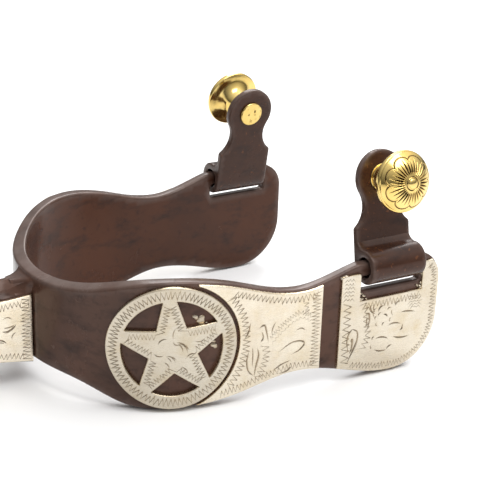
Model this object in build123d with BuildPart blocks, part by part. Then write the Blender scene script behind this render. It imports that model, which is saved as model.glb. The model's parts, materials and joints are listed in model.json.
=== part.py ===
# A western show spur: a browned steel heel band with a welded, forked shank and a free
# spinning star rowel, two swinging button hangers with brass buttons, and engraved
# nickel silver trim on both branches and both sides of the shank.
# Millimetres. +X points along the boot towards the toe, +Z is up, +Y is the left branch,
# and the surface that the spur stands on is z = 0.
import os
from math import cos, radians, sin

from build123d import *

# ---------------------------------------------------------------- driving dimensions
# Heel band: one bar bent round the boot heel into two long branches.
bend_radius = 42.3          # middle of the steel, round the heel
bend_sweep = 83.6           # degrees from the heel centre to where a branch begins
branch_reach = 116.0        # heel centre to the end of a branch, along X
branch_spread = 46.2        # middle of a branch to the centre plane, at its end
heel_thickness = 4.3
tip_thickness = 3.2
band_height = 60.0          # blank height, before the side outline is cut
bar_fillet = 1.1

# Side outline of the band, as (distance forward of the heel, height).
rim_points = [
    (0, 34.5), (3.6, 35.2), (13.7, 38.6), (28.6, 40.4),
    (45.9, 37.4), (57.5, 33.9), (67.5, 32.9), (76.5, 34.7),
]
foot_points = [
    (0, 7.3), (3.6, 6.7), (13.7, 1.6), (28.6, 0.3),
    (45.9, 2.3), (63.3, 6.1), (80.8, 3.6),
]
bar_top_z = 37.4            # straight rim over the slot
tip_corner_radius = 8.5
tip_lobe_radius = 16.5      # big lower corner of a branch, which stands on the floor

# Hanger slot in each branch, with a rounded bar left above it.
slot_reach = 97.7           # heel centre to the middle of the slot
slot_length = 21.8
slot_bottom_z = 28.6
slot_top_z = 33.2
slot_corner_radius = 0.9

# Hangers: a strap rolled into a loose loop round the bar.
hanger_thickness = 2.2
loop_bore = 3.1             # radius, clear of the square corners of the bar
hanger_width = 19.5
neck_half_width = 6.3
neck_radius = 8.0
head_height = 26.0          # from the pivot, up the strap
head_radius = 8.4
hanger_lean = 10.0          # degrees inward at rest
right_slide = 0.8           # end play along the bar, taken up towards the toe
left_slide = -0.4
crease_fillet = 3.0
shoulder_fillet = 1.2

# Buttons: turned brass, with a tenon peened over inside the hanger.
button_radius = 9.3
foot_radius = 4.2
foot_thickness = 0.9
waist_radius = 3.5
waist_height = 4.2
rim_underside = 9.8         # heights are from the outer face of the hanger
rim_thickness = 1.5
rim_edge = 0.4              # small bevels
dome_height = 4.3
boss_radius = 1.5
boss_height = 0.4
tenon_radius = 2.9
tenon_head_radius = 4.05
tenon_head_thickness = 0.8

# Shank, rowel and the pin through both ears of the fork.
shank_half_width = 5.0
# Sections, as (behind the heel face, side bottom, side top, ridge, half width, half ridge).
shank_sections = [
    (-4.0, 5.6, 29.0, 32.6, shank_half_width, 5.0),
    (0.0, 6.1, 28.8, 32.6, shank_half_width, 4.2),
    (9.5, 7.9, 28.0, 32.4, shank_half_width, 0.6),
    (36.0, 11.0, 23.8, 26.6, shank_half_width, 1.2),
    (60.0, 12.0, 21.6, 22.8, shank_half_width, 2.6),
]
shank_length = 52.0         # heel face to rowel axis
ear_radius = 6.0
rowel_axis_z = 17.0
rowel_radius = 15.0
rowel_root_radius = 7.6
rowel_hub_radius = 5.2
rowel_points = 10
rowel_thickness = 2.6
rowel_hub_thickness = 3.2
fork_gap = 3.8
fork_clearance = 1.5
pin_radius = 2.0
pin_running_clearance = 0.06
pin_head_radius = 3.1
pin_head_thickness = 0.9

# Nickel silver trim.
trim_thickness = 1.0
trim_inset = 0.6            # from the rims of the band
concho_angle = 68.7         # degrees round the bend from the heel centre
concho_centre_z = 20.2
concho_radius = 19.3
concho_thickness = 1.5
ring_ratio = 0.775          # inner edge of the ring, as a part of the radius
star_corner_ratio = 0.40    # inner corners of the star
star_point_ratio = 1.157    # where the edges of an arm would meet
star_tilt = 4.0             # degrees that the star leans back towards the heel
concho_gap = 1.0
side_plate_rear = 33.0      # forward of the heel centre
side_plate_front = 73.2
tip_plate_rear = 79.6
tip_plate_shoulder_z = 34.8
slot_margin = 0.5
slot_foot_margin = 2.8      # a strip of bare steel shows below the slot
shank_plate_length = 30.0
shank_plate_gap = 0.4       # to the heel of the band
shank_plate_inset = 0.2

# ---------------------------------------------------------------- derived places
# The origin is under the middle of the whole spur, so the heel sits behind it.
rear_reach = heel_thickness / 2 + shank_length + rowel_radius
heel_x = (rear_reach - branch_reach) / 2
bend_x = heel_x + bend_radius
tip_x = heel_x + branch_reach
slot_x = heel_x + slot_reach
shank_root_x = heel_x - heel_thickness / 2
rowel_x = shank_root_x - shank_length
inner_radius = bend_radius - heel_thickness / 2
outer_radius = bend_radius + heel_thickness / 2
inner_spread = branch_spread - tip_thickness / 2
outer_spread = branch_spread + tip_thickness / 2
pivot_z = (slot_top_z + bar_top_z) / 2
loop_radius = loop_bore + hanger_thickness
plan_overrun = 2.0          # the plan runs past the tips, and the side outline cuts it
blank_overrun = 5.0         # the blank starts below the floor, for the same reason

os.makedirs("parts", exist_ok=True)


def write(piece, name):
    """Labels a finished piece and writes it as its own STEP file."""
    piece.label = name
    export_step(piece, f"parts/{name}.step")


def half_plan(near_radius, near_spread, far_radius, far_spread):
    """Plan of the right half of a strip that follows the band, between two outlines."""
    with BuildSketch(Plane.XY.offset(-blank_overrun)) as plan:
        with BuildLine():
            near_bend = CenterArc((bend_x, 0), near_radius, 180, bend_sweep)
            near_run = TangentArc(near_bend @ 1, (tip_x + plan_overrun, -near_spread), tangent=near_bend % 1)
            far_bend = CenterArc((bend_x, 0), far_radius, 180, bend_sweep)
            far_run = TangentArc(far_bend @ 1, (tip_x + plan_overrun, -far_spread), tangent=far_bend % 1)
            Line(near_bend @ 0, far_bend @ 0)
            Line(near_run @ 1, far_run @ 1)
        make_face()
    return plan.sketch


def half_skin(thickness):
    """A tall strip that lies on the outside of the right half of the band."""
    with BuildPart() as skin:
        extrude(
            half_plan(outer_radius, outer_spread, outer_radius + thickness, outer_spread + thickness),
            amount=band_height,
        )
    return skin.part


def band_side(inset=0.0):
    """Side outline of the band, from just behind the heel to the rounded tips."""
    behind = 6.0
    rim = [(heel_x + x, z - inset) for x, z in rim_points]
    foot = [(heel_x + x, z + inset) for x, z in foot_points]
    rear_top = (heel_x - behind, rim_points[0][1] - inset)
    rear_low = (heel_x - behind, foot_points[0][1] + inset)
    bar_start = (slot_x - slot_length / 2 - 1, bar_top_z - inset)
    bar_end = (tip_x - tip_corner_radius, bar_top_z - inset)
    side_top = (tip_x - inset, bar_top_z - tip_corner_radius)
    side_low = (tip_x - inset, tip_lobe_radius)
    lobe_low = (tip_x - tip_lobe_radius, inset)
    with BuildSketch(Plane.XZ) as side:
        with BuildLine():
            Spline([rear_top] + rim + [bar_start], tangents=[(1, 0), (1, 0.2)], tangent_scalars=[1, 0.6])
            Line(bar_start, bar_end)
            RadiusArc(bar_end, side_top, tip_corner_radius - inset)
            Line(side_top, side_low)
            RadiusArc(side_low, lobe_low, tip_lobe_radius - inset)
            Spline([lobe_low] + foot[::-1] + [rear_low], tangents=[(-1, 0), (-1, 0)])
            Line(rear_low, rear_top)
        make_face()
    return side.sketch


def write_pair(right_piece, name, right_shift=0.0, left_shift=0.0):
    """Writes a piece of the right side, and its mirror image on the left side."""
    left_piece = mirror(right_piece, about=Plane.XZ, mode=Mode.PRIVATE)
    write(right_piece.moved(Location((right_shift, 0, 0))), f"{name}_right")
    write(left_piece.moved(Location((left_shift, 0, 0))), f"{name}_left")


# ---------------------------------------------------------------- heel band
slot_centre = (slot_x, (slot_bottom_z + slot_top_z) / 2)
slot_height = slot_top_z - slot_bottom_z

with BuildPart() as heel_band:
    extrude(half_plan(inner_radius, inner_spread, outer_radius, outer_spread), amount=band_height)
    extrude(band_side(), amount=2 * branch_spread, mode=Mode.INTERSECT)
    with BuildSketch(Plane.XZ):
        with Locations(slot_centre):
            RectangleRounded(slot_length, slot_height, slot_corner_radius)
    extrude(amount=2 * branch_spread, mode=Mode.SUBTRACT)
    # The underside of the bar is rounded, where the loops of the hangers bear on it.
    under_bar = heel_band.edges().filter_by_position(Axis.Z, slot_top_z - 0.01, slot_top_z + 0.01)
    fillet(under_bar.filter_by(lambda edge: edge.length > slot_length / 2), bar_fillet)
    mirror(about=Plane.XZ)
bar_top = heel_band.faces().filter_by(Axis.Z).sort_by(Axis.Z)[-1]
pivot_y = abs(bar_top.center().Y)
write(heel_band.part, "heel_band")

# ---------------------------------------------------------------- shank, rowel and pin
with BuildPart() as shank:
    for behind, side_low, side_top, ridge, half_width, half_ridge in shank_sections:
        with BuildSketch(Plane.YZ.offset(shank_root_x - behind)):
            Polygon(
                (-half_width, side_low),
                (half_width, side_low),
                (half_width, side_top),
                (half_ridge, ridge),
                (-half_ridge, ridge),
                (-half_width, side_top),
                align=None,
            )
    loft(ruled=True)
    # The root is hollowed to sit on the heel of the band.
    with Locations((bend_x, 0, band_height / 2)):
        Cylinder(outer_radius, 2 * band_height, mode=Mode.SUBTRACT)
    # Round ears about the rowel axis.
    with BuildSketch(Plane.XZ):
        with Locations((rowel_x - ear_radius, rowel_axis_z)):
            Rectangle(2 * ear_radius, 6 * ear_radius)
        with Locations((rowel_x, rowel_axis_z)):
            Circle(ear_radius, mode=Mode.SUBTRACT)
    extrude(amount=heel_thickness * 3, both=True, mode=Mode.SUBTRACT)
    # Fork for the rowel, and the bore through both ears.
    fork_depth = rowel_radius + fork_clearance + ear_radius
    with Locations((rowel_x - ear_radius + fork_depth / 2, 0, rowel_axis_z)):
        Box(fork_depth, fork_gap, 6 * ear_radius, mode=Mode.SUBTRACT)
    with Locations(Location((rowel_x, 0, rowel_axis_z), (90, 0, 0))):
        Cylinder(pin_radius, 6 * ear_radius, mode=Mode.SUBTRACT)
write(shank.part, "shank")

with BuildPart() as rowel_pin:
    with Locations(Location((rowel_x, 0, rowel_axis_z), (90, 0, 0))):
        Cylinder(pin_radius, 2 * shank_half_width)
        head_middle = shank_half_width + pin_head_thickness / 2
        with Locations((0, 0, head_middle), (0, 0, -head_middle)):
            Cylinder(pin_head_radius, pin_head_thickness)
    rounded = rowel_pin.edges().filter_by(GeomType.CIRCLE).group_by(Axis.Y)
    fillet(rounded[0] + rounded[-1], pin_head_thickness * 0.6)
write(rowel_pin.part, "rowel_pin")

half_pitch = 180 / rowel_points
star_corners = []
for corner in range(2 * rowel_points):
    reach = rowel_radius if corner % 2 == 0 else rowel_root_radius
    bearing = radians(90 + half_pitch + corner * half_pitch)
    star_corners.append((reach * cos(bearing), reach * sin(bearing)))

with BuildPart() as rowel:
    rowel_plane = Plane((rowel_x, 0, rowel_axis_z), x_dir=(1, 0, 0), z_dir=(0, -1, 0))
    with BuildSketch(rowel_plane):
        Polygon(*star_corners, align=None)
    extrude(amount=rowel_thickness / 2, both=True)
    with BuildSketch(rowel_plane):
        Circle(rowel_hub_radius)
    extrude(amount=rowel_hub_thickness / 2, both=True)
    with BuildSketch(rowel_plane):
        Circle(pin_radius + pin_running_clearance)
    extrude(amount=rowel_thickness, both=True, mode=Mode.SUBTRACT)
write(rowel.part, "rowel")

# ---------------------------------------------------------------- trim on the branches
def trim_outline(rear, front):
    """Side outline of a trim plate: the band's own, drawn in, between two distances."""
    outline = band_side(trim_inset)
    with BuildSketch(Plane.XZ) as trim:
        add(outline)
        with Locations((heel_x + (rear + front) / 2, band_height / 2)):
            Rectangle(front - rear, 2 * band_height, mode=Mode.INTERSECT)
    return trim.sketch


# The concho is cut square to the bend, so its plane touches the band at its middle.
concho_turn = radians(concho_angle)
concho_out = Vector(-cos(concho_turn), -sin(concho_turn), 0)
concho_plane = Plane(
    origin=Vector(bend_x, 0, concho_centre_z) + concho_out * outer_radius,
    x_dir=(sin(concho_turn), -cos(concho_turn), 0),
    z_dir=concho_out,
)
concho_reach = 4 * concho_thickness

arm_points = []
for arm in range(10):
    ratio = star_point_ratio if arm % 2 == 0 else star_corner_ratio
    bearing = radians(90 + star_tilt + 36 * arm)
    arm_points.append((concho_radius * ratio * cos(bearing), concho_radius * ratio * sin(bearing)))

with BuildSketch() as star_windows:
    Circle(concho_radius * ring_ratio)
    Polygon(*arm_points, align=None, mode=Mode.SUBTRACT)

with BuildSketch(concho_plane) as concho_face:
    Circle(concho_radius)
    add(star_windows.sketch, mode=Mode.SUBTRACT)

with BuildPart() as star_concho:
    extrude(concho_face.sketch, amount=concho_reach, both=True)
    add(half_skin(concho_thickness), mode=Mode.INTERSECT)
write_pair(star_concho.part, "star_concho")

with BuildPart() as side_plate:
    add(half_skin(trim_thickness))
    extrude(trim_outline(side_plate_rear, side_plate_front), amount=2 * branch_spread, mode=Mode.INTERSECT)
    with BuildSketch(concho_plane):
        Circle(concho_radius + concho_gap)
    extrude(amount=concho_reach, both=True, mode=Mode.SUBTRACT)
write_pair(side_plate.part, "side_plate")

with BuildPart() as tip_plate:
    add(half_skin(trim_thickness))
    extrude(trim_outline(tip_plate_rear, branch_reach), amount=2 * branch_spread, mode=Mode.INTERSECT)
    # Open round the slot, and cut level on both sides of it, so that the hanger can swing.
    notch_length = slot_length + 2 * slot_margin
    notch_low = slot_bottom_z - slot_foot_margin
    with BuildSketch(Plane.XZ):
        with Locations((slot_x, notch_low)):
            Rectangle(notch_length, band_height, align=(Align.CENTER, Align.MIN))
        with Locations((slot_x, tip_plate_shoulder_z)):
            Rectangle(2 * branch_reach, band_height, align=(Align.CENTER, Align.MIN))
    extrude(amount=2 * branch_spread, mode=Mode.SUBTRACT)
write_pair(tip_plate.part, "tip_plate")

# ---------------------------------------------------------------- shank plates
root, knee, fork = shank_sections[1:4]
along = (shank_plate_length - knee[0]) / (fork[0] - knee[0])
plate_end_x = shank_root_x - shank_plate_length
end_low = knee[1] + (fork[1] - knee[1]) * along
end_top = knee[2] + (fork[2] - knee[2]) * along
knee_x = shank_root_x - knee[0]

with BuildPart() as shank_plate:
    with BuildSketch(Plane.XZ.offset(shank_half_width)):
        Polygon(
            (heel_x, root[1] + shank_plate_inset),
            (heel_x, root[2] - shank_plate_inset),
            (knee_x, knee[2] - shank_plate_inset),
            (plate_end_x, end_top - shank_plate_inset),
            (plate_end_x, end_low + shank_plate_inset),
            (knee_x, knee[1] + shank_plate_inset),
            align=None,
        )
    extrude(amount=trim_thickness)
    with Locations((bend_x, 0, band_height / 2)):
        Cylinder(outer_radius + shank_plate_gap, 2 * band_height, mode=Mode.SUBTRACT)
write_pair(shank_plate.part, "shank_plate")

# ---------------------------------------------------------------- hangers and buttons
# Built on the right branch, leaning inward about the bar. Up and out follow the strap.
lean = radians(hanger_lean)
pivot = Vector(slot_x, -pivot_y, pivot_z)
strap_out = Vector(0, -cos(lean), sin(lean))
strap_up = Vector(0, sin(lean), cos(lean))
strap_middle = loop_bore + hanger_thickness / 2
strap_face = pivot - strap_out * loop_bore
head_centre = strap_face + strap_up * head_height
neck_centre_x = neck_half_width + neck_radius
neck_drop = ((head_radius + neck_radius) ** 2 - neck_centre_x**2) ** 0.5
neck_height = head_height - neck_drop
neck_top = neck_height + neck_radius * neck_drop / (head_radius + neck_radius)
crease_height = (loop_radius**2 - loop_bore**2) ** 0.5
shoulder_height = neck_height - (neck_radius**2 - (neck_centre_x - hanger_width / 2) ** 2) ** 0.5

with BuildPart() as button_hanger:
    # End view of the strap: a flat bar that closes into a loop, with a soft outer crease.
    with BuildSketch(Plane(pivot, x_dir=strap_out, z_dir=(-1, 0, 0))):
        Circle(loop_radius)
        with Locations((-strap_middle, 0)):
            Rectangle(hanger_thickness, head_height + head_radius, align=(Align.CENTER, Align.MIN))
        fillet(vertices().sort_by_distance((-loop_bore, crease_height))[0], crease_fillet)
        Circle(loop_bore, mode=Mode.SUBTRACT)
    extrude(amount=hanger_width / 2, both=True)
    # Front view: wide at the loop, a waist, and a round head with the tenon hole.
    with BuildSketch(Plane(pivot, x_dir=(1, 0, 0), z_dir=strap_out)):
        with Locations((0, -2 * loop_radius)):
            Rectangle(hanger_width, neck_top + 2 * loop_radius, align=(Align.CENTER, Align.MIN))
        with Locations((0, head_height)):
            Circle(head_radius)
        with Locations((neck_centre_x, neck_height), (-neck_centre_x, neck_height)):
            Circle(neck_radius, mode=Mode.SUBTRACT)
        for side in (-1, 1):
            fillet(vertices().sort_by_distance((side * hanger_width / 2, shoulder_height))[0], shoulder_fillet)
        with Locations((0, head_height)):
            Circle(tenon_radius, mode=Mode.SUBTRACT)
    extrude(amount=3 * loop_radius, both=True, mode=Mode.INTERSECT)
write_pair(button_hanger.part, "button_hanger", right_slide, left_slide)

rim_top = rim_underside + rim_thickness
dome_radius = button_radius - rim_edge
dome_sphere = (dome_radius**2 + dome_height**2) / (2 * dome_height)


def dome_z(radius):
    """Height of the domed face above the hanger, at a distance from the middle."""
    return rim_top + dome_height - dome_sphere + (dome_sphere**2 - radius**2) ** 0.5


with BuildPart() as button:
    with BuildSketch(Plane(head_centre, x_dir=(1, 0, 0), z_dir=-strap_up)):
        with BuildLine():
            back = -hanger_thickness - tenon_head_thickness
            Polyline(
                (0, back),
                (tenon_head_radius - rim_edge, back),
                (tenon_head_radius, back + rim_edge),
                (tenon_head_radius, -hanger_thickness),
                (tenon_radius, -hanger_thickness),
                (tenon_radius, 0),
                (foot_radius, 0),
                (foot_radius, foot_thickness),
            )
            Spline(
                (foot_radius, foot_thickness),
                (waist_radius, waist_height),
                (button_radius - rim_edge, rim_underside),
                tangents=[(-1, 0.4), (1, 0.25)],
            )
            Polyline(
                (button_radius - rim_edge, rim_underside),
                (button_radius, rim_underside + rim_edge),
                (button_radius, rim_top - rim_edge),
                (dome_radius, rim_top),
            )
            ThreePointArc(
                (dome_radius, rim_top),
                (dome_radius / 2, dome_z(dome_radius / 2)),
                (boss_radius, dome_z(boss_radius)),
            )
            Polyline(
                (boss_radius, dome_z(boss_radius)),
                (boss_radius - rim_edge, dome_z(0) + boss_height),
                (0, dome_z(0) + boss_height),
                (0, back),
            )
        make_face()
    revolve(axis=Axis(head_centre, strap_out))
write_pair(button.part, "button", right_slide, left_slide)
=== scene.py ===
"""Looks of a western show spur: browned steel band and shank, engraved nickel silver, brass buttons."""
import json
from math import asin, atan2, cos, pi, radians, sin, sqrt

import bmesh
import bpy
import numpy as np
from mathutils import Matrix, Vector, noise
from mathutils.geometry import delaunay_2d_cdt


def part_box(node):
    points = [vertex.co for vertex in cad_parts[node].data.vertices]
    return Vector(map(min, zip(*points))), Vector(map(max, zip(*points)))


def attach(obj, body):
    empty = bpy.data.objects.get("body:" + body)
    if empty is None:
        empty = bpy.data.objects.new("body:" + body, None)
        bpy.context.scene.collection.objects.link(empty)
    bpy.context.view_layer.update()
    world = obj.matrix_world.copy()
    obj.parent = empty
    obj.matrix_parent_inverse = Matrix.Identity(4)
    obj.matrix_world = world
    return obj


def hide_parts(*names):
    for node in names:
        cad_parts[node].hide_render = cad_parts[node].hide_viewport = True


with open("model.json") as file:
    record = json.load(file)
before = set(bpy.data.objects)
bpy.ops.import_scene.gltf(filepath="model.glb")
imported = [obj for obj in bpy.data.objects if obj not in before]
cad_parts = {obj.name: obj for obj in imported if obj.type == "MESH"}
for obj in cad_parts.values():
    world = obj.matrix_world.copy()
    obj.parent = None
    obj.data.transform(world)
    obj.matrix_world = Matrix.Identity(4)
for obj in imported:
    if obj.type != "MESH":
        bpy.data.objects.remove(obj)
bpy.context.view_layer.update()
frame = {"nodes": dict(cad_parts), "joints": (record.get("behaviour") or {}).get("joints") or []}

MM = 0.001                    # shapes below are in millimetres, and meshes are made in metres

# ---- driving dimensions
bend_radius = 42.3            # middle of the steel round the heel, as in the CAD
bend_sweep = 83.6
heel_thickness = 4.3
tip_thickness = 3.2
branch_spread = 46.2
run_end = 2.0                 # the plan of a branch is drawn this far past its tip
band_edge = 0.9               # softened rims of the band
slot_reach = 97.7
slot_length = 21.8
slot_low = 28.6
slot_top = 33.2
slot_corner = 0.9
notch_low = 25.8              # lower edge of the opening in the tip plate
plate_sink = 0.08             # every plate and bead of solder is set this far into the steel
plate_edge = 0.32
full_dark = 0.18              # half width at which a cut is as dark as it gets
solder_dulling = 0.3

same_facing = 0.98            # cosine between a face and the direction that it is said to look in
shortest_edge = 0.03

rng = np.random.default_rng(7)


def box_mm(node):
    low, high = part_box(node)
    return np.array(low) / MM, np.array(high) / MM


band_low, band_high = box_mm("heel_band")
heel_back_x = band_low[0]
heel_x = heel_back_x + heel_thickness / 2
tip_x = band_high[0]
slot_x = heel_x + slot_reach


def on_circle(angle):
    """Points of the unit circle at angles in radians."""
    return np.stack([np.cos(angle), np.sin(angle)], -1)


def arc_points(centre, radius, start, end, count):
    """Points on an arc between two bearings in degrees."""
    return list(np.array(centre) + radius * on_circle(np.radians(np.linspace(start, end, count))))


# ---- plan of the band


def plan_table(step=0.25):
    """Points and outward normals along the outer face of the right branch, by distance from the heel."""
    radius = bend_radius + heel_thickness / 2
    centre = np.array([heel_back_x + radius, 0.0])
    sweep = radians(bend_sweep)
    out = -on_circle(sweep)
    start = centre + radius * out
    end = np.array([tip_x + run_end, -(branch_spread + tip_thickness / 2)])
    chord = end - start
    run_radius = -(chord @ chord) / (2 * (out @ chord))
    run_centre = start - out * run_radius
    run_sweep = 2 * asin(np.linalg.norm(chord) / (2 * run_radius))
    bend_turns = np.linspace(0, sweep, int(radius * sweep / step))
    run_turns = np.linspace(0, run_sweep, int(run_radius * run_sweep / step))[1:]
    bend_out, run_out = -on_circle(bend_turns), -on_circle(sweep + run_turns)
    points = np.vstack([centre + radius * bend_out, run_centre + run_radius * run_out])
    along = np.concatenate([bend_turns * radius, sweep * radius + run_turns * run_radius])
    return along, points, np.vstack([bend_out, run_out]), radius * sweep


plan_s, plan_points, plan_out, bend_length = plan_table()
plan_length = plan_s[-1]
s_of_tip = float(np.interp(tip_x, plan_points[:, 0], plan_s))


def s_at_x(x):
    """Distance along the outer face at which a branch reaches x."""
    return np.interp(x, plan_points[:, 0], plan_s)


def steel_thickness(s):
    """The steel thins evenly from the end of the bend to the tip."""
    share = np.clip((np.abs(s) - bend_length) / (plan_length - bend_length), 0, 1)
    return heel_thickness + (tip_thickness - heel_thickness) * share


def on_plan(s, values):
    """A value of the plan's points, read at a distance along the outer face."""
    return np.interp(np.abs(s), plan_s, values)


def place_on_band(flat, height):
    """Points at (distance along the outer face, z) and a height above that face."""
    s = flat[:, 0]
    x = on_plan(s, plan_points[:, 0]) + height * on_plan(s, plan_out[:, 0])
    y = on_plan(s, plan_points[:, 1]) + height * on_plan(s, plan_out[:, 1])
    return np.stack([x, np.where(s < 0, -y, y), flat[:, 1]], 1)


def branch_side(points):
    """1 at points of the right branch and -1 at points of the left one."""
    return np.where(points[:, 1] > 0, -1.0, 1.0)


def nearest_on_plan(points):
    """Index of the plan point under each point of the right branch."""
    gaps = points[:, None, :2] - plan_points[None]
    return np.argmin((gaps**2).sum(2), 1)


def unroll(points):
    """(distance along the outer face, z) of points on or near the right branch."""
    near = nearest_on_plan(points)
    out = plan_out[near]
    tangent = np.stack([-out[:, 1], out[:, 0]], 1)
    s = plan_s[near] + ((points[:, :2] - plan_points[near]) * tangent).sum(1)
    return np.stack([s, points[:, 2]], 1)


# ---- outlines read from the frame


def surface_of(node):
    """Welded vertices in mm, triangles, and unit normals of a CAD node."""
    mesh = frame["nodes"][node].data
    mesh.calc_loop_triangles()
    points = np.round(np.array([v.co for v in mesh.vertices]) / MM, 3)
    corners = np.array([t.vertices for t in mesh.loop_triangles])
    welded, index = np.unique(points, axis=0, return_inverse=True)
    triangles = index.reshape(-1)[corners]
    a, b, c = (welded[triangles[:, k]] for k in range(3))
    return welded, triangles, unit(np.cross(b - a, c - a))


def face_loops(node, facing):
    """Closed outlines of the part of a surface that facing(centres, normals) picks, longest first."""
    points, triangles, normals = surface_of(node)
    chosen = triangles[facing(points[triangles].mean(1), normals)]
    edges = {(int(t[k]), int(t[(k + 1) % 3])) for t in chosen for k in range(3)}
    after = {}
    for a, b in sorted(edges):
        if (b, a) not in edges:
            after.setdefault(a, []).append(b)
    loops = []
    while after:
        loop = [next(iter(after))]
        while loop[-1] in after:
            following = after[loop[-1]]
            loop.append(following.pop())
            if not following:
                del after[loop[-2]]
        loops.append(points[loop[:-1]])
    return sorted(loops, key=len, reverse=True)


def outward_on_band(centres, normals):
    """Faces of either branch that look away from the boot."""
    side = branch_side(centres)
    right = np.column_stack([centres[:, 0], centres[:, 1] * side])
    out = plan_out[nearest_on_plan(right)]
    return normals[:, 0] * out[:, 0] + normals[:, 1] * side * out[:, 1] > same_facing


def facing_right(centres, normals):
    return normals[:, 1] < -same_facing


def widest(loops):
    return max(loops, key=lambda loop: np.ptp(loop[:, 0]))


def area(loop):
    x, y = loop[:, 0], loop[:, 1]
    return 0.5 * float(np.sum(x * np.roll(y, -1) - np.roll(x, -1) * y))


def wound(loops):
    """The outline anticlockwise, and any holes after it clockwise."""
    return [loop if (area(loop) > 0) == (k == 0) else loop[::-1] for k, loop in enumerate(loops)]


def refined(loop, step):
    """A loop with its long edges divided, and with no very short ones."""
    loop = loop[np.linalg.norm(loop - np.roll(loop, 1, 0), axis=1) > shortest_edge]
    parts = []
    for a, b in zip(loop, np.roll(loop, -1, 0)):
        count = max(1, int(np.ceil(np.linalg.norm(b - a) / step)))
        parts.append(a + (b - a) * np.arange(count)[:, None] / count)
    return np.vstack(parts)


# ---- flat geometry


def segments_of(loops):
    return np.vstack(loops), np.vstack([np.roll(loop, -1, 0) for loop in loops])


def unit(vectors):
    return vectors / np.maximum(np.linalg.norm(vectors, axis=1, keepdims=True), 1e-12)


def distance_to(points, starts, ends, widths=None, chunk=2000):
    """Distance to the nearest segment, or, with widths, how far inside the widest cut a point lies."""
    best = np.full(len(points), -np.inf if widths is not None else np.inf)
    along = ends - starts
    squared = np.maximum((along**2).sum(1), 1e-12)
    for i in range(0, len(points), chunk):
        block = points[i:i + chunk, None]
        share = np.clip(((block - starts) * along).sum(2) / squared, 0, 1)
        gap = np.sqrt(((block - starts - share[..., None] * along)**2).sum(2))
        if widths is None:
            best[i:i + chunk] = gap.min(1)
        else:
            width = widths[0] + (widths[1] - widths[0]) * share
            best[i:i + chunk] = (width - gap).max(1)
    return best


def inside(points, starts, ends, chunk=4000):
    """Even and odd crossings of the outlines."""
    result = np.zeros(len(points), bool)
    rise = ends[:, 1] - starts[:, 1]
    rise = np.where(np.abs(rise) < 1e-12, 1e-12, rise)
    for i in range(0, len(points), chunk):
        x, y = points[i:i + chunk, 0, None], points[i:i + chunk, 1, None]
        spans = (starts[:, 1] > y) != (ends[:, 1] > y)
        crossing = starts[:, 0] + (y - starts[:, 1]) * (ends[:, 0] - starts[:, 0]) / rise
        result[i:i + chunk] = (spans & (x < crossing)).sum(1) % 2 == 1
    return result


def left_of(steps):
    """Unit vectors to the left of steps in the plane."""
    return unit(np.stack([-steps[:, 1], steps[:, 0]], 1))


def inward_normals(loop):
    """Unit normals at the corners of an outline, to its left."""
    return left_of(unit(loop - np.roll(loop, 1, 0)) + unit(np.roll(loop, -1, 0) - loop))


def ring_points(loops, starts, ends, radius, rows):
    """Rows of points beside the outlines, closest together where the rounded edge turns most."""
    found = []
    for row in range(1, rows + 1):
        gap = radius * (1 - cos(radians(90 * row / rows)))
        for loop in loops:
            moved = loop + inward_normals(loop) * gap
            true_gap = distance_to(moved, starts, ends)
            found.append(moved[true_gap > 0.97 * gap])
    return np.vstack(found)


def grid_points(starts, ends, spacing, clear):
    """A staggered grid inside the outlines."""
    low, high = starts.min(0), starts.max(0)
    columns = np.arange(low[0] + spacing / 2, high[0], spacing)
    rows = np.arange(low[1] + spacing / 2, high[1], spacing * sqrt(3) / 2)
    x, y = np.meshgrid(columns, rows)
    x = x + (np.arange(len(rows)) % 2)[:, None] * spacing / 2
    points = np.stack([x.ravel(), y.ravel()], 1)
    points = points[inside(points, starts, ends)]
    return points[distance_to(points, starts, ends) > clear]


def triangulate(loops, lines, free):
    """Vertices and triangles inside the outlines, whose points come first, with the lines as edges."""
    points, edges = [], []
    for line, closed in [*((loop, True) for loop in loops), *((line, False) for line in lines)]:
        first = len(points)
        points.extend(map(tuple, line))
        edges.extend((k, k + 1) for k in range(first, len(points) - 1))
        if closed:
            edges.append((len(points) - 1, first))
    points.extend(map(tuple, free))
    vertices, _, faces, origins, _, _ = delaunay_2d_cdt([Vector(p) for p in points], edges, [], 0, 1e-5)
    vertices, triangles = np.array([tuple(v) for v in vertices]), np.array([list(f) for f in faces])
    triangles = triangles[inside(vertices[triangles].mean(1), *segments_of(loops))]
    new_index = {k: index for index, origin in enumerate(origins) for k in origin}
    outline = np.array([new_index[k] for k in range(sum(map(len, loops)))])
    rest = np.setdiff1d(np.unique(triangles), outline)
    order = np.concatenate([outline, rest])
    place = np.full(len(vertices), -1)
    place[order] = np.arange(len(order))
    return vertices[order], place[triangles], len(outline)


def cut_lines(cuts, starts, ends, clear):
    """Edges along the middle and both sides of each cut that stays clear of the outlines."""
    kept, lines = [], []
    for path, width in cuts:
        reach = np.vstack([path, (path[:-1] + path[1:]) / 2])
        room = distance_to(reach, starts, ends).min() - width.max()
        if room >= clear and inside(reach, starts, ends).all():
            across = left_of(np.gradient(path, axis=0)) * width[:, None]
            kept.append((path, width))
            lines.extend([path, path + across, path - across])
    return kept, lines


def cut_segments(cuts):
    return np.vstack([path[:-1] for path, _ in cuts]), np.vstack([path[1:] for path, _ in cuts])


def engraving(points, cuts, slope):
    """Depth of the cuts at the points, and how dark they are, from 0 to 1."""
    if not cuts:
        return np.zeros(len(points)), np.zeros(len(points))
    widths = (np.concatenate([w[:-1] for _, w in cuts]), np.concatenate([w[1:] for _, w in cuts]))
    inset = np.maximum(distance_to(points, *cut_segments(cuts), widths), 0)
    return inset * slope, np.minimum(inset / full_dark, 1)


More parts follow.
